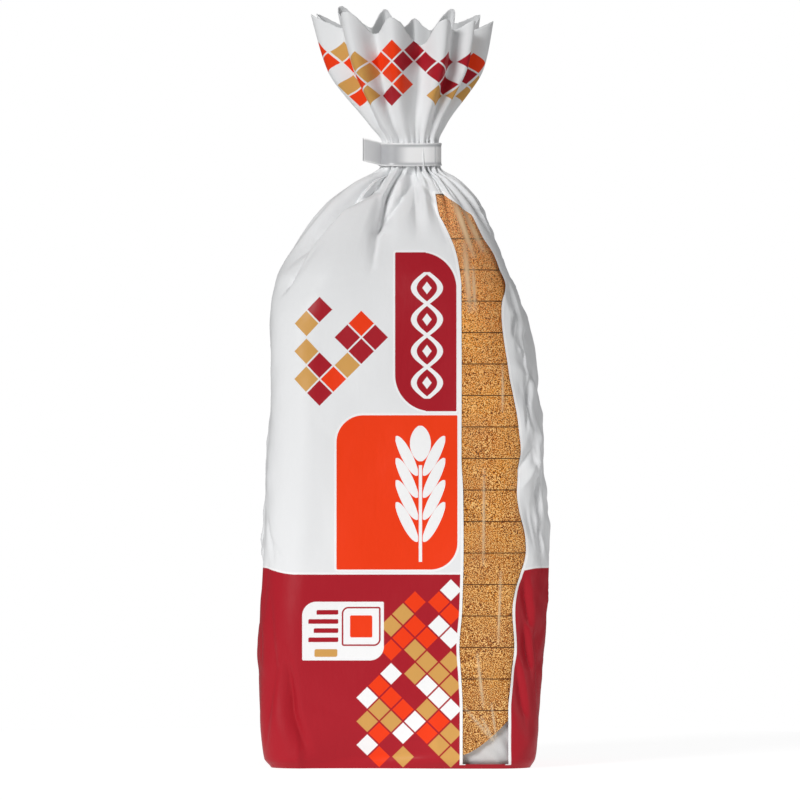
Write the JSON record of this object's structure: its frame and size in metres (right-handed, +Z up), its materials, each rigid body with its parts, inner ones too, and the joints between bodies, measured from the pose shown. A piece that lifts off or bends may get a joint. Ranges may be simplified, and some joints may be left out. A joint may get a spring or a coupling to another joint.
{
  "type": "loaf in bread bag",
  "caption": "Sliced loaf in a printed film bag with a clear side strip, gathered at the neck by a flat band under an open pleated ruff.",
  "frame": {"origin": "middle of the base of the standing bag's bounding box", "axes": "+Z up from the base to the ruff, -Y the printed front, +X to the right as seen from the front"},
  "size_m": [0.124, 0.104, 0.3285],
  "materials": {
    "printed_film": "white polypropylene film with printed fields of maroon, orange and gold, soft gloss",
    "clear_film": "clear polypropylene film, glossy",
    "crust": "golden brown bread crust, matt and finely speckled",
    "band": "silvery white flat band, satin"
  },
  "bodies": {
    "root": {"bag": "printed_film", "slice_01": "crust", "slice_02": "crust", "slice_03": "crust", "slice_04": "crust", "slice_05": "crust", "slice_06": "crust", "slice_07": "crust", "slice_08": "crust", "slice_09": "crust", "slice_10": "crust", "slice_11": "crust", "slice_12": "crust", "slice_13": "crust", "slice_14": "crust", "slice_15": "crust", "slice_16": "crust", "slice_17": "crust", "neck_band": "band"}
  },
  "joints": []
}
